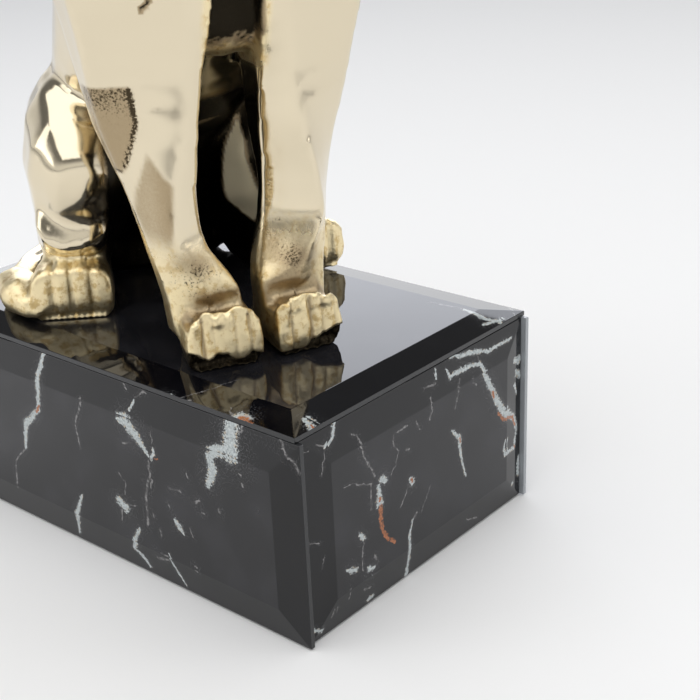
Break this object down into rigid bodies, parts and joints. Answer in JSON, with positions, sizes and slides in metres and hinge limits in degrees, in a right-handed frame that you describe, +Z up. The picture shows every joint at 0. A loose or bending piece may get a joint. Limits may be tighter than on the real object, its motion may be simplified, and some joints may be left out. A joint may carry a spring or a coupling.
{
  "type": "sitting lion figurine on a plinth",
  "caption": "Polished cast brass lion sitting upright with a locked mane, on a rectangular plinth of bevelled black marble-look glass panels.",
  "frame": {"origin": "middle of the plinth's underside, which the figurine stands on", "axes": "+Z up, -Y out of the plinth's short front side, +X towards its right side; the lion faces -Y turned 25 degrees towards -X"},
  "size_m": [0.187, 0.286, 0.4326],
  "materials": {
    "polished_brass": "mirror-polished pale gold casting, rough and pitted at the ankles and toes",
    "marble_glass": "clear glass over a black marble print with white and rust veins, bevelled and glossy",
    "felt_board": "board faced with matt black felt"
  },
  "bodies": {
    "root": {"lion": "polished_brass", "plinth_top": "marble_glass", "plinth_panel_front": "marble_glass", "plinth_panel_back": "marble_glass", "plinth_panel_left": "marble_glass", "plinth_panel_right": "marble_glass", "plinth_base": "felt_board"}
  },
  "joints": []
}
